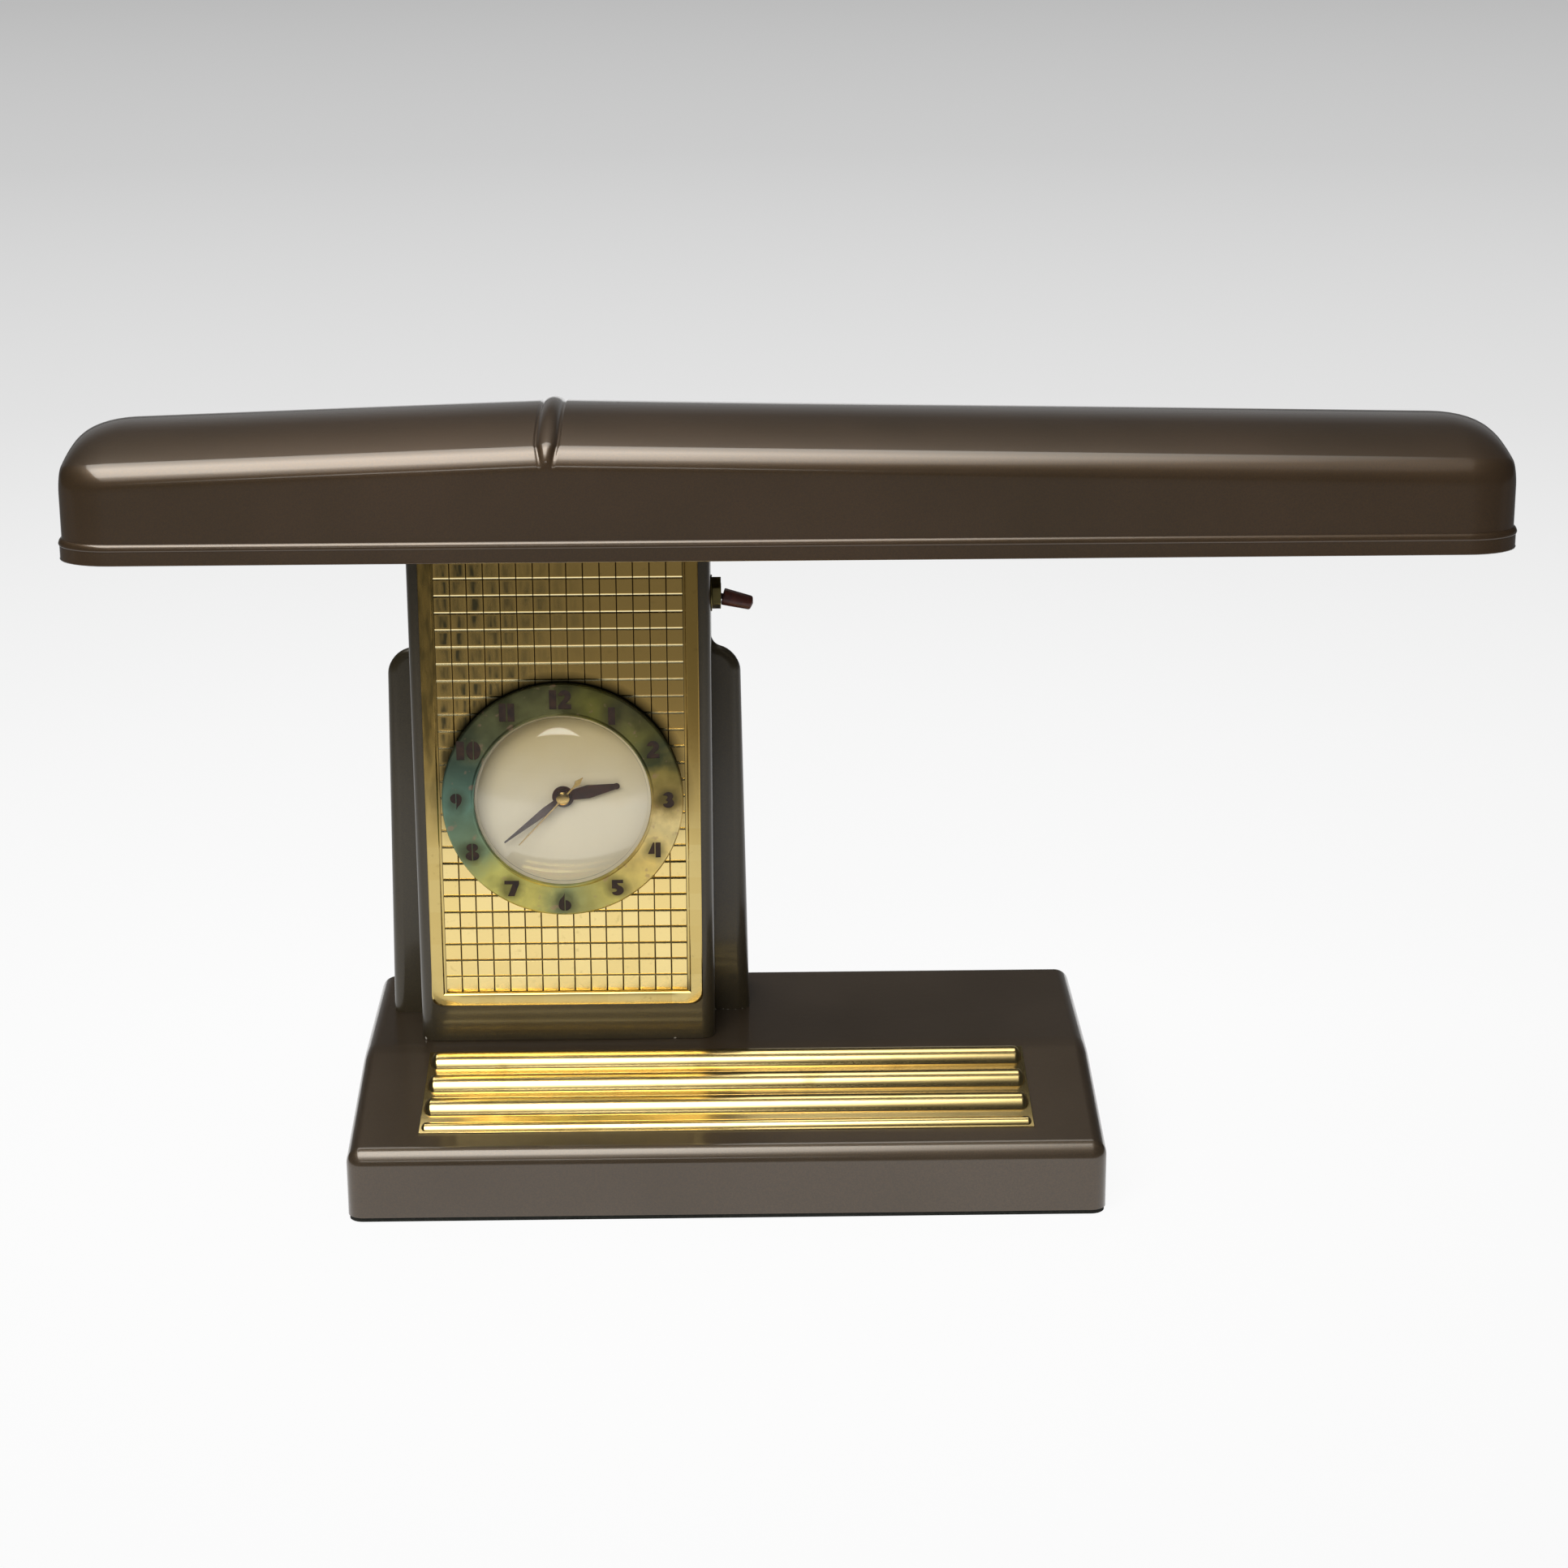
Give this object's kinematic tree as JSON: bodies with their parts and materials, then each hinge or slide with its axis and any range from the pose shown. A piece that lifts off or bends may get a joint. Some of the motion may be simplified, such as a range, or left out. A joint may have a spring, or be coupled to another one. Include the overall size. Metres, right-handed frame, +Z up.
{
  "type": "desk clock lamp",
  "caption": "Desk lamp with a long pressed-steel shade over one fluorescent tube, on a clock column with a brass panel and a wide ribbed base.",
  "frame": {"origin": "centre of the base on the surface that the lamp stands on", "axes": "+X to the right seen from the dial side, +Y to the back, +Z up"},
  "size_m": [0.5, 0.1584, 0.2796],
  "materials": {
    "enamel": "bronze-brown metallic enamel, gloss",
    "brass": "lacquered, lightly aged",
    "aged_brass": "patinated, with verdigris",
    "steel": "zinc plated",
    "felt": "felt",
    "rubber": "matt",
    "crystal": "clear, domed",
    "dial_card": "cream, satin",
    "hand_enamel": "dark brown, satin",
    "copper": "copper plated",
    "winding": "varnished winding",
    "lamination": "laminated iron",
    "red_bakelite": "phenolic, worn gloss",
    "black_bakelite": "phenolic, gloss",
    "white_urea": "urea moulding",
    "white_enamel": "reflector enamel",
    "tube_glass": "phosphor coated",
    "aluminium": "satin",
    "ballast_paint": "black, matt"
  },
  "bodies": {
    "frame": {"base_shell": "enamel", "bottom_plate": "steel", "felt_pad": "felt", "bottom_screws": "steel", "base_trim": "brass", "cord_grommet": "rubber", "column_front": "enamel", "column_back": "enamel", "cover_posts": "steel", "back_screws": "steel", "column_bolts": "steel", "brass_panel": "brass", "clock_ring": "aged_brass", "ring_studs": "aged_brass", "ring_nuts": "steel", "crystal": "crystal", "crystal_retainer": "steel", "dial": "dial_card", "clock_case": "steel", "front_plate": "brass", "back_plate": "brass", "movement_pillars": "steel", "minute_stud": "steel", "field_core": "lamination", "field_coil": "winding", "rotor_unit": "copper", "switch_body": "black_bakelite", "switch_washer": "brass", "switch_nut": "brass", "shade": "enamel", "shade_bracket": "steel", "bracket_screws": "steel", "reflector": "white_enamel", "reflector_posts": "steel", "lampholder_left": "white_urea", "lampholder_right": "white_urea", "holder_brackets": "steel", "starter": "aluminium", "starter_socket": "white_urea", "starter_bracket": "steel", "ballast": "ballast_paint", "ballast_screws": "steel"},
    "lever": {"switch_lever": "red_bakelite"},
    "hour": {"hour_hand": "hand_enamel", "hour_wheel": "brass"},
    "minute": {"minute_hand": "hand_enamel", "cannon_pinion": "steel"},
    "motion_wheel": {"minute_wheel": "brass"},
    "second": {"second_hand": "brass", "second_arbor": "steel"},
    "setter": {"set_shaft": "steel", "set_knob": "black_bakelite"},
    "tube": {"tube_glass": "tube_glass", "tube_caps": "aluminium"}
  },
  "joints": [
    {"name": "lever_tilt", "type": "hinge", "parent": "frame", "child": "lever", "pos_m": [-0.005, 0.01795, 0.204], "axis": [0, -1, 0], "range_deg": [0, 28]},
    {"name": "minute_turn", "type": "hinge", "parent": "frame", "child": "minute", "pos_m": [-0.0587, 0.01, 0.1312], "axis": [0, 1, 0], "continuous": true},
    {"name": "hour_turn", "type": "hinge", "parent": "frame", "child": "hour", "pos_m": [-0.0587, 0.01, 0.1312], "axis": [0, 1, 0], "continuous": true},
    {"name": "motion_wheel_turn", "type": "hinge", "parent": "frame", "child": "motion_wheel", "pos_m": [-0.0587, 0.01, 0.1192], "axis": [0, 1, 0], "continuous": true},
    {"name": "set_knob_turn", "type": "hinge", "parent": "frame", "child": "setter", "pos_m": [-0.04831, 0.01, 0.1132], "axis": [0, 1, 0], "continuous": true},
    {"name": "second_turn", "type": "hinge", "parent": "frame", "child": "second", "pos_m": [-0.0587, 0.01, 0.1312], "axis": [0, 1, 0], "continuous": true},
    {"name": "tube_turn", "type": "hinge", "parent": "frame", "child": "tube", "pos_m": [0.0236, -0.022, 0.2495], "axis": [1, 0, 0], "range_deg": [0, 90]}
  ],
  "couplings": [
    {"joint": "hour_turn", "follows": "minute_turn", "ratio": 0.083333},
    {"joint": "motion_wheel_turn", "follows": "minute_turn", "ratio": -0.33333},
    {"joint": "set_knob_turn", "follows": "minute_turn", "ratio": 1}
  ]
}
